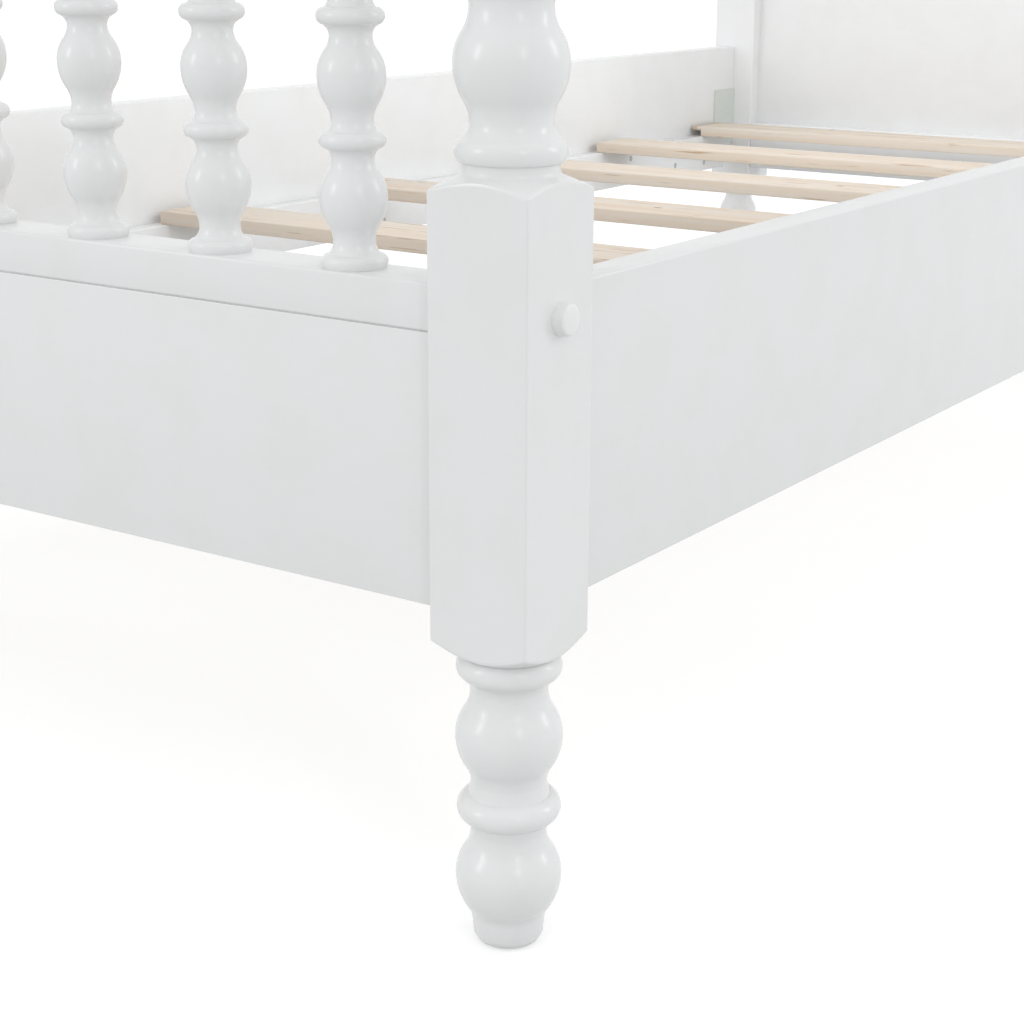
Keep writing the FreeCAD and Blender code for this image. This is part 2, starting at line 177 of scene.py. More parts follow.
# ---- Turned outlines -----------------------------------------------------------------------------
def arc_from(upright, end, count=10):
    """Arc of an outline, as (radius, height) points, that is upright at its first point and ends at its last.

    With depth d and height h between the two its radius is (d * d + h * h) / (2 * d).
    """
    depth, height = abs(end[0] - upright[0]), abs(end[1] - upright[1])
    radius = (depth * depth + height * height) / (2 * depth)
    turn = np.linspace(0, math.asin(min(1.0, height / radius)), count)
    inset = np.sign(end[0] - upright[0]) * radius * (1 - np.cos(turn))
    climb = np.sign(end[1] - upright[1]) * radius * np.sin(turn)
    return np.column_stack([upright[0] + inset, upright[1] + climb])


def ogee(start, end, share):
    """Two arcs, upright at start and at end, that meet on the line between them at the given share of it."""
    start, end = np.array(start, float), np.array(end, float)
    meeting = start + share * (end - start)
    return np.vstack([arc_from(start, meeting), arc_from(end, meeting)[-2::-1]])


def bulb(neck_radius, low, crown, high, crown_radius):
    """Bulb from its lower neck to its upper one, fullest at the crown."""
    rise = ogee((crown_radius, crown), (neck_radius, low), bulb_share)[::-1]
    fall = ogee((crown_radius, crown), (neck_radius, high), bulb_share)
    return np.vstack([rise, fall[1:]])


def spindle_flange(rail, away):
    """Foot of a spindle on its rail, from the rail outwards: a rounded rim, a small step and a cove to the neck."""
    rim = arc_from((spindle_ring_radius, flange_rim_height), (spindle_ring_radius - 0.8, 0), 5)[::-1]
    shoulder = arc_from((spindle_ring_radius, flange_rim_height), (flange_step_radius, flange_step_height), 7)[1:]
    cove = arc_from((spindle_neck_radius, spindle_flange_height),
                    (flange_step_radius - 0.5, flange_step_height + 0.1), 8)[::-1]
    points = np.vstack([rim, shoulder, cove])
    return np.column_stack([points[:, 0], rail + away * points[:, 1]])


def spindle_ring(low, high):
    """Ring between two necks: hollowed below, rounded above up to a small step, then a cove to the upper neck."""
    crest = (low + high) / 2
    below = ogee((spindle_ring_radius, crest), (spindle_neck_radius, low), 0.45)[::-1]
    above = arc_from((spindle_ring_radius, crest), (13.5, crest + 4.3), 8)[1:]
    cove = arc_from((spindle_neck_radius, high), (13.1, crest + 4.4), 7)[::-1]
    return np.vstack([below, above, cove])


def spindle_outline():
    """Outline of a spindle from its lower flange to its upper one, above the rail that it stands on."""
    pieces = [spindle_flange(0, 1)]
    for number in range(spindle_bulbs):
        neck = spindle_flange_height + number * spindle_pitch
        upper_neck = neck + spindle_bulb_length
        pieces.append(bulb(spindle_neck_radius, neck, neck + spindle_neck_to_crown, upper_neck,
                           spindle_crown_radius)[1:-1])
        if number < spindle_bulbs - 1:
            pieces.append(spindle_ring(upper_neck, neck + spindle_pitch))
    pieces.append(spindle_flange(upper_neck + spindle_flange_height, -1)[::-1])
    return np.vstack(pieces)


def upper_shoulder(block_end, away):
    """Collar and ring above a pommel, from the collar's filleted foot to the ring's crest."""
    fillet = arc_from((collar_radius, collar_foot + fillet_height), (collar_radius + 1.1, collar_foot), 5)[::-1]
    rim = arc_from((post_ring_radius - 0.3, upper_ring), (26.4, collar_end + 0.3), 6)[::-1]
    points = np.vstack([fillet, [[collar_radius, collar_end - 0.3], [collar_radius + 0.3, collar_end]],
                        [[26.0, collar_end]], rim])
    return np.column_stack([points[:, 0], block_end + away * points[:, 1]])


def lower_shoulder(block_end):
    """Ring close under a pommel, from the sharp groove between them down to the ring's crest."""
    crest = block_end - lower_ring
    rim = arc_from((post_ring_radius, crest), (25.3, block_end - lower_pommel_rise - 0.1), 9)[::-1]
    return np.vstack([[[24.6, block_end - lower_pommel_rise + 0.1]], rim])


def leg_outline(block_base):
    """Turned leg from the floor up to the groove under a square block."""
    shoulder = lower_shoulder(block_base)[::-1]
    ring = block_base - lower_ring
    neck = ring - ring_to_neck
    middle_crown = neck - crown_to_neck
    middle_neck = middle_crown - neck_to_crown
    lowest_ring = middle_neck - leg_ring_to_neck - 1.0
    lowest_neck = lowest_ring - leg_ring_to_neck
    waist = 0.21 * lowest_neck
    lowest_crown = waist + 0.5 * (lowest_neck - waist)
    foot = np.array([[12.6, 0.0], [14.8, 0.4], [17.0, 1.7], [18.5, 4.0], [19.1, 0.38 * waist],
                     [19.6, 0.8 * waist]])
    calf = ogee((post_crown_radius, lowest_crown), (20.0, waist), 0.77)[::-1]
    ankle = ogee((post_crown_radius, lowest_crown), (leg_neck_radius, lowest_neck), upper_bulb_share)[1:]
    above = arc_from((post_ring_radius - 0.2, lowest_ring), (22.0, lowest_ring + leg_ring_half), 12)
    below = np.column_stack([above[::-1, 0], 2 * lowest_ring - above[::-1, 1]])
    knee = ogee((post_crown_radius, middle_crown), (leg_neck_radius, middle_neck), bulb_share)[::-1]
    thigh = ogee((post_crown_radius, middle_crown), (post_neck_radius, neck), upper_bulb_share)[1:]
    last = ogee((post_ring_radius, ring), (post_neck_radius, neck), 0.45)[::-1][1:-1]
    return np.vstack([foot, calf, ankle, below, above[1:], knee, thigh, last, shoulder])


def column_outline(low_block, high_block):
    """Turned column between two square blocks: a ring at each end and as many bulbs between them as fit."""
    first_ring = low_block + upper_ring
    last_ring = high_block - lower_ring
    bulbs = max(1, round((last_ring - first_ring) / post_pitch))
    stretch = (last_ring - first_ring) / bulbs / post_pitch
    pieces = [upper_shoulder(low_block, 1)[:-1]]
    for number in range(bulbs):
        ring = first_ring + number * stretch * post_pitch
        neck = ring + stretch * ring_to_neck
        crown = neck + stretch * neck_to_crown
        upper_neck = crown + stretch * crown_to_neck
        next_ring = upper_neck + stretch * ring_to_neck
        pieces.append(ogee((post_ring_radius - 0.3, ring), (post_neck_radius, neck), 0.41)[:-1])
        pieces.append(ogee((post_crown_radius, crown), (post_neck_radius, neck), bulb_share)[:0:-1])
        pieces.append(ogee((post_crown_radius, crown), (post_neck_radius, upper_neck), upper_bulb_share)[:-1])
        pieces.append(ogee((post_neck_radius, upper_neck), (post_ring_radius, next_ring), 0.59)[:-1])
    return np.vstack(pieces + [lower_shoulder(high_block)[::-1]])


def finial_outline(block_end, top):
    """Collar, cove and ball on a post, up to its top: the ball is an ellipse upright on the axis."""
    collar = np.array([[collar_radius + 1.1, collar_foot], [collar_radius, collar_foot + 2.2],
                       [collar_radius, collar_foot + 4.0], [collar_radius - 0.7, collar_foot + 4.7],
                       [collar_radius - 3.6, collar_foot + 4.9]])
    collar[:, 1] += block_end
    turn = np.linspace(-math.radians(52), math.radians(90), 28)
    ball = np.column_stack([finial_radius * np.cos(turn),
                            top - finial_half_height + finial_half_height * np.sin(turn)])
    ball[-1, 0] = 0.02
    neck = (finial_neck_radius, (collar[-1, 1] + ball[0, 1]) / 2)
    cove = arc_from(neck, (collar[-1, 0] - 0.6, collar[-1, 1]), 7)[::-1]
    rise = arc_from(neck, (ball[0, 0], ball[0, 1]), 5)[1:-1]
    return np.vstack([collar, cove, rise, ball])


# ---- Turned pieces -------------------------------------------------------------------------------
def lathe(outline, centre_x, centre_y, base=0.0, columns=72):
    """Surface of revolution: each (radius, height) of the outline is carried round an upright axis.

    A point at angle t is radius * cos(t) and radius * sin(t) from the axis, at its height over the base.
    """
    angle = np.linspace(0, FULL_TURN, columns, endpoint=False)
    radius, height = outline[:, 0][:, None], outline[:, 1][:, None]
    grid = np.stack([centre_x + radius * np.cos(angle), centre_y + radius * np.sin(angle),
                     base + height + 0 * angle], axis=-1)
    return tube(grid)


def post_angles():
    """Columns round a post: even steps over each face, and closer ones round its four eased corners."""
    face = np.linspace(-43.2, 43.2, 25)
    corner = np.array([43.75, 44.4, 45.0, 45.6, 46.25])
    quarter = np.concatenate([face, corner])
    return np.radians(np.concatenate([quarter + 90 * turn for turn in range(4)]))


def square_radius(angle, half, ease):
    """Distance from the axis to a square of the given half size whose corners are rounded by ease.

    It is half / cos(t) on a face, with t the angle from the face's middle, and on a corner it is where a ray
    meets the circle of the easing, whose centre lies on the diagonal.
    """
    folded = np.abs((angle + np.pi / 4) % (np.pi / 2) - np.pi / 4)
    flat = half / np.cos(folded)
    core = math.sqrt(2) * (half - ease)
    lean = np.pi / 4 - folded
    rounded = core * np.cos(lean) + np.sqrt(np.maximum(ease ** 2 - (core * np.sin(lean)) ** 2, 0))
    return np.where(half * np.tan(folded) <= half - ease, flat, rounded)


def pommel_height(radius, half, rise):
    """Height of the conical pommel over the block's corner: it grows evenly from the corner in to the collar."""
    corner = math.sqrt(2) * half
    return rise * np.clip((corner - radius) / (corner - collar_radius), 0, 1)


def block_rows(angle, half, low_end, high_end):
    """Rows of a square block between its two pommels, each as radii and heights round the post.

    The block's faces end in the curves where the cones cut the square; a row close to each side of such a curve
    keeps the edge crisp, and the pommel's rows run evenly from there to the collar.
    """
    edge = square_radius(angle, half, post_ease)
    cuts = []
    for end, away, rise in ((low_end, -1, lower_pommel_rise), (high_end, 1, upper_pommel_rise)):
        rim = end + away * pommel_height(edge, half, rise)
        rows = [(edge, rim - away * 2.0), (edge, rim - away * 0.7), (edge - 0.25, rim - away * 0.12)]
        inner = collar_radius + (1.2 if away > 0 else 0.4)
        for share in (0.07, 0.3, 0.6, 0.85, 0.97):
            radius = edge - share * (edge - inner)
            rows.append((radius, end + away * pommel_height(radius, half, rise)))
        cuts.append(rows)
    return cuts[0][::-1] + cuts[1]


def post(node, half, stages):
    """A post of square blocks and turned stretches: stages holds outlines and (low, high) block ends in turn.

    Every row holds a radius and a height for each angle round the post, so that square rows, whose radius
    follows the square, and round ones, whose radius is even, join into one surface.
    """
    low, high = node_box(node)
    centre = (low + high) / 2
    angle = post_angles()
    rows = []
    for stage in stages:
        if isinstance(stage, tuple):
            rows += block_rows(angle, half, *stage)
        else:
            rows += [(radius + 0 * angle, height + 0 * angle) for radius, height in stage]
    radius = np.array([row[0] for row in rows])
    height = np.array([row[1] for row in rows])
    grid = np.stack([centre[0] + radius * np.cos(angle), centre[1] + radius * np.sin(angle), height], axis=-1)
    return tube(grid)


def foot_post_stages(top):
    low_block = (rail_low[2] - foot_block_drop, foot_lower_block_top)
    high_block = (foot_top_low[2] - block_under_rail, foot_top_high[2] + block_over_rail)
    return [leg_outline(low_block[0]), low_block, column_outline(low_block[1], high_block[0]), high_block,
            finial_outline(high_block[1], top)]


def head_post_stages(top):
    low_block = (rail_low[2] - head_block_drop, middle_high[2] + block_over_rail)
    high_block = (head_top_low[2] - block_under_rail, head_top_high[2] + block_over_rail)
    return [leg_outline(low_block[0]), low_block, column_outline(low_block[1], high_block[0]), high_block,
            finial_outline(high_block[1], top)]


# ---- Boards --------------------------------------------------------------------------------------
def rounded_section(half_a, half_b, radius, steps=4):
    """Rounded rectangle as points (a, b) in turn round its outline: a quarter circle of the radius at each corner."""
    points = []
    for quarter, (sign_a, sign_b) in enumerate(((1, 1), (-1, 1), (-1, -1), (1, -1))):
        turn = np.radians(90 * quarter) + np.linspace(0, np.pi / 2, steps)
        points.append(np.column_stack([sign_a * (half_a - radius) + radius * np.cos(turn),
                                       sign_b * (half_b - radius) + radius * np.sin(turn)]))
    return np.vstack(points)


def board(low, high, ease, long_axis, steps=4):
    """Board with every edge rounded: its rounded section is carried along its length and drawn in at both ends.

    Towards an end the section shrinks by ease * (1 - cos(t)) while it moves on by ease * sin(t).
    """
    low, high = np.array(low, float), np.array(high, float)
    centre, half = (low + high) / 2, (high - low) / 2
    side = ((1, 2), (2, 0), (0, 1))[long_axis]
    turn = np.linspace(0, np.pi / 2, steps)
    inset = ease * (1 - np.cos(turn))
    along = half[long_axis] - ease + ease * np.sin(turn)
    stations = [(-place, cut) for place, cut in zip(along[::-1], inset[::-1])]
    stations += list(zip(along, inset))
    rows = []
    for place, cut in stations:
        section = rounded_section(half[side[0]] - cut, half[side[1]] - cut, max(ease - cut, 0.02), steps)
        row = np.empty((len(section), 3))
        row[:, long_axis] = centre[long_axis] + place
        row[:, side[0]] = centre[side[0]] + section[:, 0]
        row[:, side[1]] = centre[side[1]] + section[:, 1]
        rows.append(row)
    return tube(np.array(rows))


# ---- Materials -----------------------------------------------------------------------------------
def new_material(name):
    material = bpy.data.materials.new(name)
    material.use_nodes = True
    tree = material.node_tree
    return material, tree, tree.nodes["Principled BSDF"]


def add(tree, kind, **settings):
    """A node with its sockets or properties set by name."""
    node = tree.nodes.new(kind)
    for key, value in settings.items():
        if key in node.inputs:
            node.inputs[key].default_value = value
        else:
            setattr(node, key, value)
    return node


def noise(tree, stretch, scale, detail, roughness=0.5, distortion=0.0, where=None):
    """Noise on object coordinates that are stretched along each axis."""
    coordinates = where or add(tree, "ShaderNodeTexCoord").outputs["Object"]
    mapping = add(tree, "ShaderNodeMapping")
    mapping.inputs["Scale"].default_value = stretch
    tree.links.new(coordinates, mapping.inputs["Vector"])
    texture = add(tree, "ShaderNodeTexNoise", Scale=scale, Detail=detail, Roughness=roughness,
                  Distortion=distortion)
    tree.links.new(mapping.outputs["Vector"], texture.inputs["Vector"])
    return texture.outputs["Fac"]


def ramp(tree, source, stops):
    node = add(tree, "ShaderNodeValToRGB")
    while len(node.color_ramp.elements) < len(stops):
        node.color_ramp.elements.new(0.5)
    for element, (place, colour) in zip(node.color_ramp.elements, stops):
        element.position = place
        element.color = (*colour, 1)
    tree.links.new(source, node.inputs["Fac"])
    return node.outputs["Color"]


def weighted(tree, first, second, weight):
    """First value plus the second one times a weight."""
    node = add(tree, "ShaderNodeMath", operation="MULTIPLY_ADD")
    tree.links.new(second, node.inputs[0])
    node.inputs[1].default_value = weight
    tree.links.new(first, node.inputs[2])
    return node.outputs[0]


def mixed(tree, share, first, second, blend="MIX"):
    node = add(tree, "ShaderNodeMix", data_type="RGBA", blend_type=blend)
    for source, socket in ((share, node.inputs[0]), (first, node.inputs[6]), (second, node.inputs[7])):
        if isinstance(source, (tuple, float, int)):
            socket.default_value = (*source, 1) if isinstance(source, tuple) else source
        else:
            tree.links.new(source, socket)
    return node.outputs[2]


def white_paint(name, grain_axis):
    """Satin white paint over timber: cloudy sprayed tone, grain telegraphing faintly through, a fine pebbled skin."""
    material, tree, shader = new_material(name)
    stretch = [1.0, 1.0, 1.0]
    stretch[grain_axis] = 0.12
    clouds = noise(tree, (1, 1, 1), 20.0, 3.0, 0.6)
    streaks = noise(tree, stretch, 120.0, 5.0, 0.6)
    tone = weighted(tree, clouds, streaks, 0.22)
    colour = ramp(tree, tone, [(0.50, (0.797, 0.799, 0.797)), (0.60, (0.806, 0.808, 0.808)),
                               (0.70, (0.811, 0.814, 0.817))])
    tree.links.new(colour, shader.inputs["Base Color"])
    skin = noise(tree, (1, 1, 1), 900.0, 2.0)
    relief = weighted(tree, streaks, skin, 0.35)
    bump = add(tree, "ShaderNodeBump", Strength=0.10, Distance=0.0006)
    tree.links.new(relief, bump.inputs["Height"])
    tree.links.new(bump.outputs["Normal"], shader.inputs["Normal"])
    gloss = add(tree, "ShaderNodeMapRange")
    tree.links.new(clouds, gloss.inputs["Value"])
    gloss.inputs["To Min"].default_value = 0.225
    gloss.inputs["To Max"].default_value = 0.265
    tree.links.new(gloss.outputs["Result"], shader.inputs["Roughness"])
    shader.inputs["IOR"].default_value = 1.5
    return material


def pine():
    """Planed pine: broad pale growth bands along the slat, fine fibres, short dark flecks, a few small knots, and
    darker brown ends that are partly real end grain and partly painted shade.
    """
    material, tree, shader = new_material("planed_pine")
    growth = noise(tree, (0.8, 22.0, 60.0), 2.2, 3.0, 0.5, 0.7)
    fibres = noise(tree, (4.0, 160.0, 260.0), 3.0, 6.0, 0.65)
    wood = weighted(tree, growth, fibres, 0.32)
    colour = ramp(tree, wood, [(0.42, (0.70, 0.56, 0.43)), (0.58, (0.745, 0.63, 0.515)),
                               (0.70, (0.74, 0.645, 0.545)), (0.86, (0.755, 0.675, 0.585))])
    flecks = noise(tree, (7.0, 110.0, 160.0), 1.6, 2.0, 0.5)
    fleck_share = ramp(tree, flecks, [(0.645, (0, 0, 0)), (0.715, (0.75, 0.75, 0.75))])
    colour = mixed(tree, fleck_share, colour, (0.42, 0.25, 0.13))
    coordinates = add(tree, "ShaderNodeTexCoord").outputs["Object"]
    mapping = add(tree, "ShaderNodeMapping")
    mapping.inputs["Scale"].default_value = (13.0, 22.0, 9.0)
    tree.links.new(coordinates, mapping.inputs["Vector"])
    knots = add(tree, "ShaderNodeTexVoronoi", Scale=1.0, Randomness=1.0)
    tree.links.new(mapping.outputs["Vector"], knots.inputs["Vector"])
    knot_share = ramp(tree, knots.outputs["Distance"], [(0.0, (0.9, 0.9, 0.9)), (0.045, (0.8, 0.8, 0.8)),
                                                        (0.07, (0.15, 0.15, 0.15)), (0.12, (0, 0, 0))])
    colour = mixed(tree, knot_share, colour, (0.24, 0.12, 0.06))
    # Darker brown on the slats' end faces: partly the real darker end grain, partly painted shade standing in for the
    # shade that falls on the slat ends.
    ends = add(tree, "ShaderNodeSeparateXYZ")
    tree.links.new(coordinates, ends.inputs[0])
    reach = add(tree, "ShaderNodeMath", operation="ABSOLUTE")
    tree.links.new(ends.outputs["X"], reach.inputs[0])
    end_grain_and_shade = add(tree, "ShaderNodeMapRange")
    tree.links.new(reach.outputs[0], end_grain_and_shade.inputs["Value"])
    end_grain_and_shade.inputs["From Min"].default_value = slat_reach * MM - 0.0008
    end_grain_and_shade.inputs["From Max"].default_value = slat_reach * MM - 0.0002
    end_grain_and_shade.inputs["To Max"].default_value = 0.65
    colour = mixed(tree, end_grain_and_shade.outputs["Result"], colour, (0.50, 0.33, 0.20))
    tree.links.new(colour, shader.inputs["Base Color"])
    bump = add(tree, "ShaderNodeBump", Strength=0.25, Distance=0.0006)
    tree.links.new(fibres, bump.inputs["Height"])
    tree.links.new(bump.outputs["Normal"], shader.inputs["Normal"])
    shader.inputs["Roughness"].default_value = 0.5
    return material


def steel(name, colour, roughness, metallic):
    """Sheet or bar steel with a faintly uneven sheen."""
    material, tree, shader = new_material(name)
    darker = tuple(0.95 * value for value in colour)
    haze = noise(tree, (1, 1, 1), 180.0, 4.0)
    tree.links.new(ramp(tree, haze, [(0.3, darker), (0.7, colour)]), shader.inputs["Base Color"])
    shader.inputs["Roughness"].default_value = roughness
    shader.inputs["Metallic"].default_value = metallic
    return material


def cap_plastic():
    """Moulded white plastic, a touch brighter than the paint."""
    material, tree, shader = new_material("moulded_white_plastic")
    haze = noise(tree, (1, 1, 1), 400.0, 2.0)
    tree.links.new(ramp(tree, haze, [(0.3, (0.82, 0.83, 0.82)), (0.7, (0.85, 0.86, 0.85))]),
                   shader.inputs["Base Color"])
    shader.inputs["Roughness"].default_value = 0.28
    return material


PAINT_ALONG_X = white_paint("white_paint_cross", LONG_AXIS_X)
PAINT_ALONG_Y = white_paint("white_paint_long", LONG_AXIS_Y)
PAINT_UPRIGHT = white_paint("white_paint_upright", UPRIGHT_AXIS)
PINE = pine()
PLATE_STEEL = steel("passivated_plate_steel", (0.64, 0.675, 0.635), 0.5, 0.0)
BRIGHT_STEEL = steel("bright_zinc_steel", (0.6, 0.6, 0.6), 0.3, 0.9)
SCREW_STEEL = steel("dull_screw_steel", (0.46, 0.45, 0.43), 0.45, 0.2)
CAP_PLASTIC = cap_plastic()


# ---- The bed -------------------------------------------------------------------------------------
def make_posts():
    for kind, stages in (("foot_post", foot_post_stages), ("head_post", head_post_stages)):
        for side in ("left", "right"):
            node = "%s_%s" % (kind, side)
            low, high = node_box(node)
            half = (high[0] - low[0]) / 2
            surface = post(node, half, stages(high[2]))
            make_piece("turned_" + node, [surface], PAINT_UPRIGHT, node, math.radians(38))


def make_spindles():
    outline = spindle_outline()
    for end, base in (("foot", cap_high[2]), ("head", middle_high[2])):
        for number in range(1, 10):
            node = "%s_spindle_%d" % (end, number)
            low, high = node_box(node)
            centre = (low + high) / 2
            surface = lathe(outline, centre[0], centre[1], base)
            make_piece("turned_" + node, [surface], PAINT_UPRIGHT, node, math.radians(45))


def between_posts(low, high, reach):
    """A rail's box without its tenons: reach is half the clear width between the posts."""
    low, high = low.copy(), high.copy()
    low[0], high[0] = -reach, reach
    return low, high


def make_boards():
    board_low, board_high = between_posts(*node_box("foot_board"), foot_reach)
    board_high[2] = cap_low[2] - joint_drop - joint_line
    tongue_low, tongue_high = board_low.copy(), board_high.copy()
    tongue_low[1] += tongue_inset_front
    tongue_high[1] -= tongue_inset_back
    tongue_low[2] = board_high[2] - 5.0
    tongue_high[2] = cap_low[2] + 2.0
    surfaces = [board(board_low, board_high, 0.5, LONG_AXIS_X), board(tongue_low, tongue_high, 0.3, LONG_AXIS_X)]
    make_piece("foot_board_face", surfaces, PAINT_ALONG_X, "foot_board")
    for node, reach, ease in (("foot_cap_rail", foot_reach, cap_ease), ("foot_top_rail", foot_reach, 4.0),
                              ("head_lower_rail", head_reach, 2.2), ("head_middle_rail", head_reach, 2.2),
                              ("head_top_rail", head_reach, 4.0)):
        low, high = between_posts(*node_box(node), reach)
        if node == "foot_cap_rail":
            low[2] -= joint_drop
        make_piece("eased_" + node, [board(low, high, ease, LONG_AXIS_X)], PAINT_ALONG_X, node)
    low, high = node_box("head_panel")
    make_piece("flat_head_panel", [board(low, high, 0.4, LONG_AXIS_X)], PAINT_ALONG_X, "head_panel")
    for side in ("left", "right"):
        for kind, ease in (("side_rail", 1.1), ("ledger", 1.0)):
            node = "%s_%s" % (kind, side)
            low, high = node_box(node)
            make_piece("eased_" + node, [board(low, high, ease, LONG_AXIS_Y)], PAINT_ALONG_Y, node)


def make_slats():
    """Slats with softened edges; the left end of the last one is rebated from below."""
    for number in range(1, 8):
        node = "slat_%d" % number
        low, high = node_box(node)
        surfaces = []
        if number == 7:
            lip_low, lip_high = low + [-lip_reach, 0.2, lip_underside], high - [0, 0.2, 0.2]
            low[0] += rebate_length
            lip_high[0] = low[0] + 30.0
            surfaces.append(board(lip_low, lip_high, slat_ease - 0.1, LONG_AXIS_X))
        surfaces.insert(0, board(low, high, slat_ease, LONG_AXIS_X))
        make_piece("pine_" + node, surfaces, PINE, node)


def make_bolt_caps():
    """Raised round caps: an upright rim, a small eased edge and a barely domed face, turned about the bolt's axis.

    The dome falls from its middle by half a millimetre times the square of the share of the radius.
    """
    low, high = node_box("bolt_caps")
    reach = node_box("foot_post_right")[1][0]
    rise = high[0] - reach
    radius = (high[2] - low[2]) / 2
    edge = arc_from((radius - 0.5, rise - 1.8), (radius - cap_edge, rise - 0.5), 7)
    sweep = np.linspace(1, 0, 8)[1:]
    dome = np.column_stack([(radius - cap_edge) * sweep + 0.02, rise - 0.5 * sweep ** 2])
    outline = np.vstack([[[0.02, 0.0], [radius, 0.0], [radius - 0.2, cap_rim_height]], edge, dome])
    middle_y, middle_z = (low[1] + high[1]) / 2, (low[2] + high[2]) / 2
    surfaces = []
    for side in (-1, 1):
        points, faces = lathe(outline, 0, 0, columns=48)
        placed = np.column_stack([side * (reach + points[:, 2]), middle_y + side * points[:, 0],
                                  middle_z + points[:, 1]])
        surfaces.append((placed, faces))
    make_piece("domed_bolt_caps", surfaces, CAP_PLASTIC, "bolt_caps", math.radians(60))


def screw_head(centre, inward, radius):
    """Countersunk head, flush but for a low crown, with a cross recess pressed into its top.

    The height over polar radius and angle is the crown less a recess that is deep within either arm of a cross.
    """
    share = np.linspace(0.001, 1, 15)[:, None]
    angle = np.linspace(0, FULL_TURN, 40, endpoint=False)[None, :]
    flat_x, flat_y = radius * share * np.cos(angle), radius * share * np.sin(angle)
    arm = np.minimum(np.maximum(np.abs(flat_x) / 0.55, np.abs(flat_y) / 0.15),
                     np.maximum(np.abs(flat_y) / 0.55, np.abs(flat_x) / 0.15)) / radius
    height = 0.55 * (1 - share ** 2) + 0.05 - 0.9 * np.clip(1.6 - 1.4 * arm, 0, 1) * (share < 0.75)
    top = np.stack([flat_x, flat_y, height + 0 * angle], axis=-1)[::-1]
    skirt = top[:1] * [1, 1, 0] - [0, 0, 0.6]
    grid = np.concatenate([skirt, top])
    points, faces = tube(grid)
    placed = np.column_stack([inward * points[:, 2], inward * points[:, 0], points[:, 1]]) + centre
    return placed, faces


def make_screws():
    """Screws that hold the ledgers and the hook plates to the side rails, all driven from inside the bed."""
    ledger_low = node_box("ledger_right")[0]
    surfaces = []
    for along, height in ledger_screw_places:
        centre = np.array([ledger_low[0], ledger_low[1] + along, ledger_low[2] + height])
        surfaces.append(screw_head(centre, -1, screw_radius))
        surfaces.append(screw_head(centre * [-1, 1, 1], 1, screw_radius))
    make_piece("ledger_screws", surfaces, SCREW_STEEL)
    surfaces = []
    for end in ("foot", "head"):
        low = node_box("rail_hook_%s_right" % end)[0]
        rail_end = rail_low[1] if end == "foot" else rail_high[1]
        towards = 1 if end == "foot" else -1
        for along in (18.0, 44.0):
            for height in (16.0, 66.0):
                centre = np.array([low[0], rail_end + towards * along, low[2] + height])
                surfaces.append(screw_head(centre, -1, plate_screw_radius))
                surfaces.append(screw_head(centre * [-1, 1, 1], 1, plate_screw_radius))
    make_piece("hook_plate_screws", surfaces, PLATE_STEEL)


def set_finish(node, material):
    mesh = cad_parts[node].data
    mesh.materials.clear()
    mesh.materials.append(material)


def finish_steel():
    """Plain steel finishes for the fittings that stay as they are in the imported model."""
    for node in ("rail_hook_foot_left", "rail_hook_foot_right", "rail_hook_head_left", "rail_hook_head_right"):
        set_finish(node, PLATE_STEEL)
    for node in ("hook_pins", "post_bolts", "barrel_nuts"):
        set_finish(node, BRIGHT_STEEL)


make_posts()
make_spindles()
make_boards()
make_slats()
make_bolt_caps()
make_screws()
finish_steel()


# ---- Studio --------------------------------------------------------------------------------------
def shown_rays(tree):
    """One where a ray comes from the camera or from a shiny or clear surface, and nought elsewhere."""
    path = add(tree, "ShaderNodeLightPath")
    total = path.outputs["Is Camera Ray"]
    for kind in ("Is Glossy Ray", "Is Transmission Ray"):
        node = add(tree, "ShaderNodeMath", operation="MAXIMUM")
        tree.links.new(total, node.inputs[0])
        tree.links.new(path.outputs[kind], node.inputs[1])
        total = node.outputs[0]
    return total


def make_floor():
    """Wide pale floor, shown near white to the camera, that still takes the bed's soft shadow."""
    mesh = bpy.data.meshes.new("studio_floor")
    reach = 30.0
    corners = [(-reach, -reach, 0), (reach, -reach, 0), (reach, reach, 0), (-reach, reach, 0)]
    mesh.from_pydata(corners, [], [(0, 1, 2, 3)])
    floor = bpy.data.objects.new("studio_floor", mesh)
    bpy.context.scene.collection.objects.link(floor)
    material, tree, shader = new_material("pale_floor")
    shader.inputs["Base Color"].default_value = (0.64, 0.64, 0.64, 1)
    shader.inputs["Roughness"].default_value = 0.9
    glow = add(tree, "ShaderNodeEmission")
    glow.inputs["Strength"].default_value = 0.475
    dark = add(tree, "ShaderNodeEmission", Strength=0.0)
    choose = add(tree, "ShaderNodeMixShader")
    total = add(tree, "ShaderNodeAddShader")
    tree.links.new(shown_rays(tree), choose.inputs["Fac"])
    tree.links.new(dark.outputs[0], choose.inputs[1])
    tree.links.new(glow.outputs[0], choose.inputs[2])
    tree.links.new(choose.outputs[0], total.inputs[0])
    tree.links.new(shader.outputs[0], total.inputs[1])
    tree.links.new(total.outputs[0], tree.nodes["Material Output"].inputs["Surface"])
    mesh.materials.append(material)


def make_world():
    """Even studio surround: white to the camera and in reflections, a little lower on the object."""
    world = bpy.data.worlds.new("studio")
    bpy.context.scene.world = world
    world.use_nodes = True
    tree = world.node_tree
    light = add(tree, "ShaderNodeBackground", Color=(0.985, 0.995, 1.0, 1), Strength=0.93)
    seen = add(tree, "ShaderNodeBackground", Color=(1, 1, 1, 1), Strength=1.0)
    mix = add(tree, "ShaderNodeMixShader")
    tree.links.new(shown_rays(tree), mix.inputs["Fac"])
    tree.links.new(light.outputs[0], mix.inputs[1])
    tree.links.new(seen.outputs[0], mix.inputs[2])
    tree.links.new(mix.outputs[0], tree.nodes["World Output"].inputs["Surface"])


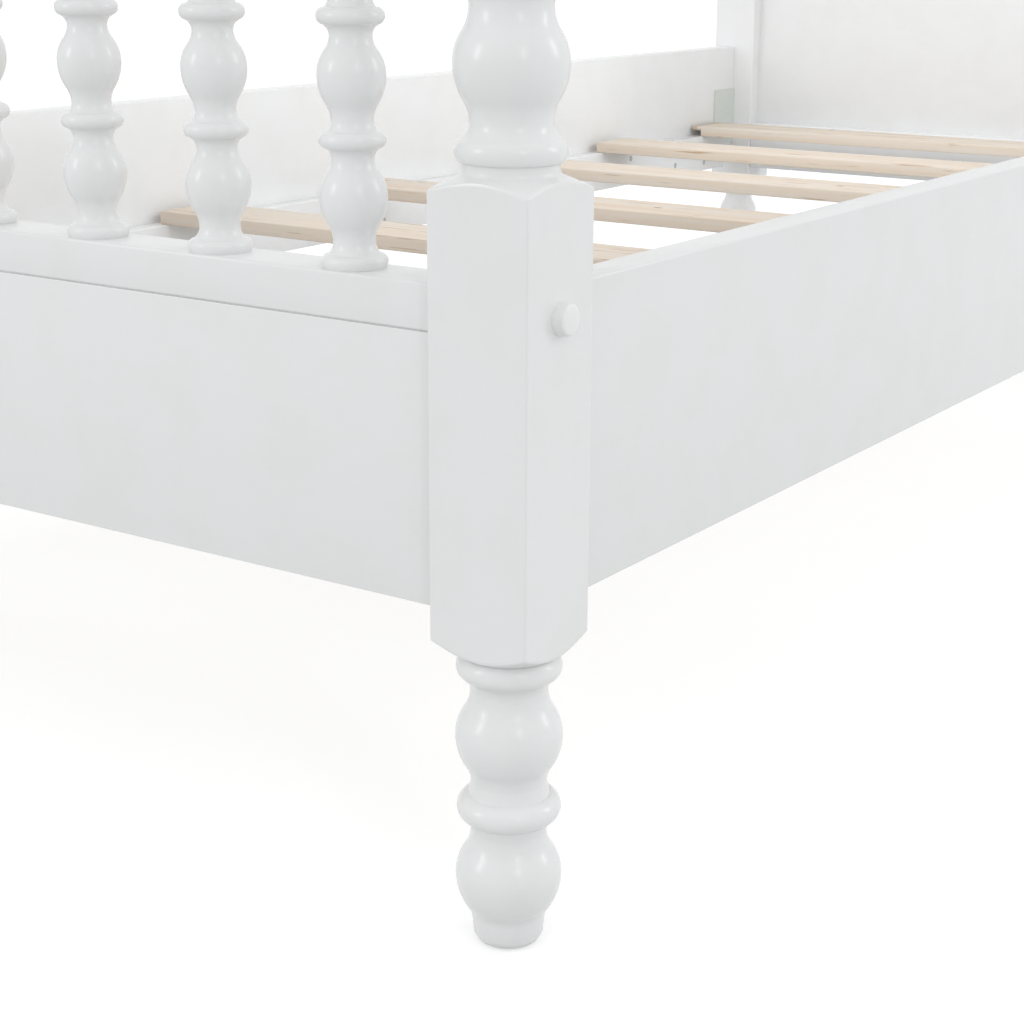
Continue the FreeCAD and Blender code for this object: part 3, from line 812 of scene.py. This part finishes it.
def make_softbox(name, place, target, size, watts, spread=180, colour=(1, 1, 1)):
    light = bpy.data.lights.new(name, "AREA")
    light.spread = math.radians(spread)
    light.color = colour
    light.shape = "RECTANGLE"
    light.size, light.size_y = size
    light.energy = watts
    lamp = bpy.data.objects.new(name, light)
    lamp.visible_camera = False
    lamp.location = place
    lamp.rotation_euler = (Vector(target) - Vector(place)).to_track_quat("-Z", "Y").to_euler()
    bpy.context.scene.collection.objects.link(lamp)


def make_camera():
    """Camera at the photograph's viewing angle, from its place in metres and its turns in radians.

    The focal length is given in pixels of the square picture, and the sensor's width takes it to millimetres.
    """
    place = Vector((1.00954, -1.80510, 0.52949))
    yaw, pitch, roll = 0.59767, 0.28954, 0.003944
    focal_pixels, picture_pixels, sensor_width = 1941.779, 1024, 36.0
    forward = Vector((-math.sin(yaw) * math.cos(pitch), math.cos(yaw) * math.cos(pitch), -math.sin(pitch)))
    level = Vector((math.cos(yaw), math.sin(yaw), 0))
    upright = level.cross(forward)
    right = level * math.cos(roll) + upright * math.sin(roll)
    up = upright * math.cos(roll) - level * math.sin(roll)
    data = bpy.data.cameras.new("photo_camera")
    data.sensor_width = sensor_width
    data.lens = focal_pixels / picture_pixels * sensor_width
    data.clip_start, data.clip_end = 0.05, 100.0
    camera = bpy.data.objects.new("photo_camera", data)
    turn = Matrix((right, up, -forward)).transposed()
    camera.matrix_world = Matrix.Translation(place) @ turn.to_4x4()
    bpy.context.scene.collection.objects.link(camera)
    bpy.context.scene.camera = camera


make_floor()
make_world()
make_camera()

# The first three aim at the near foot post, and two small ones fill the inside of the bed.
make_softbox("left_softbox", (-2.9, -5.3, 2.2), (0.45, -1.0, 0.4), (0.9, 2.2), 34)
make_softbox("front_softbox", (3.9, -3.1, 2.1), (0.45, -1.0, 0.4), (0.35, 1.5), 11)
make_softbox("right_softbox", (3.9, 2.2, 2.1), (0.45, -1.0, 0.4), (0.6, 2.0), 22)
make_softbox("panel_softbox", (-0.10, -0.15, 0.85), (0.0, 1.0, 0.42), (1.3, 0.35), 1.0, 90, (0.95, 0.98, 1.0))
make_softbox("inner_softbox", (0.40, 0.38, 0.62), (-0.465, 0.45, 0.34), (2.0, 0.22), 0.95, 80, (0.95, 0.98, 1.0))
bpy.context.scene.view_settings.view_transform = "Standard"
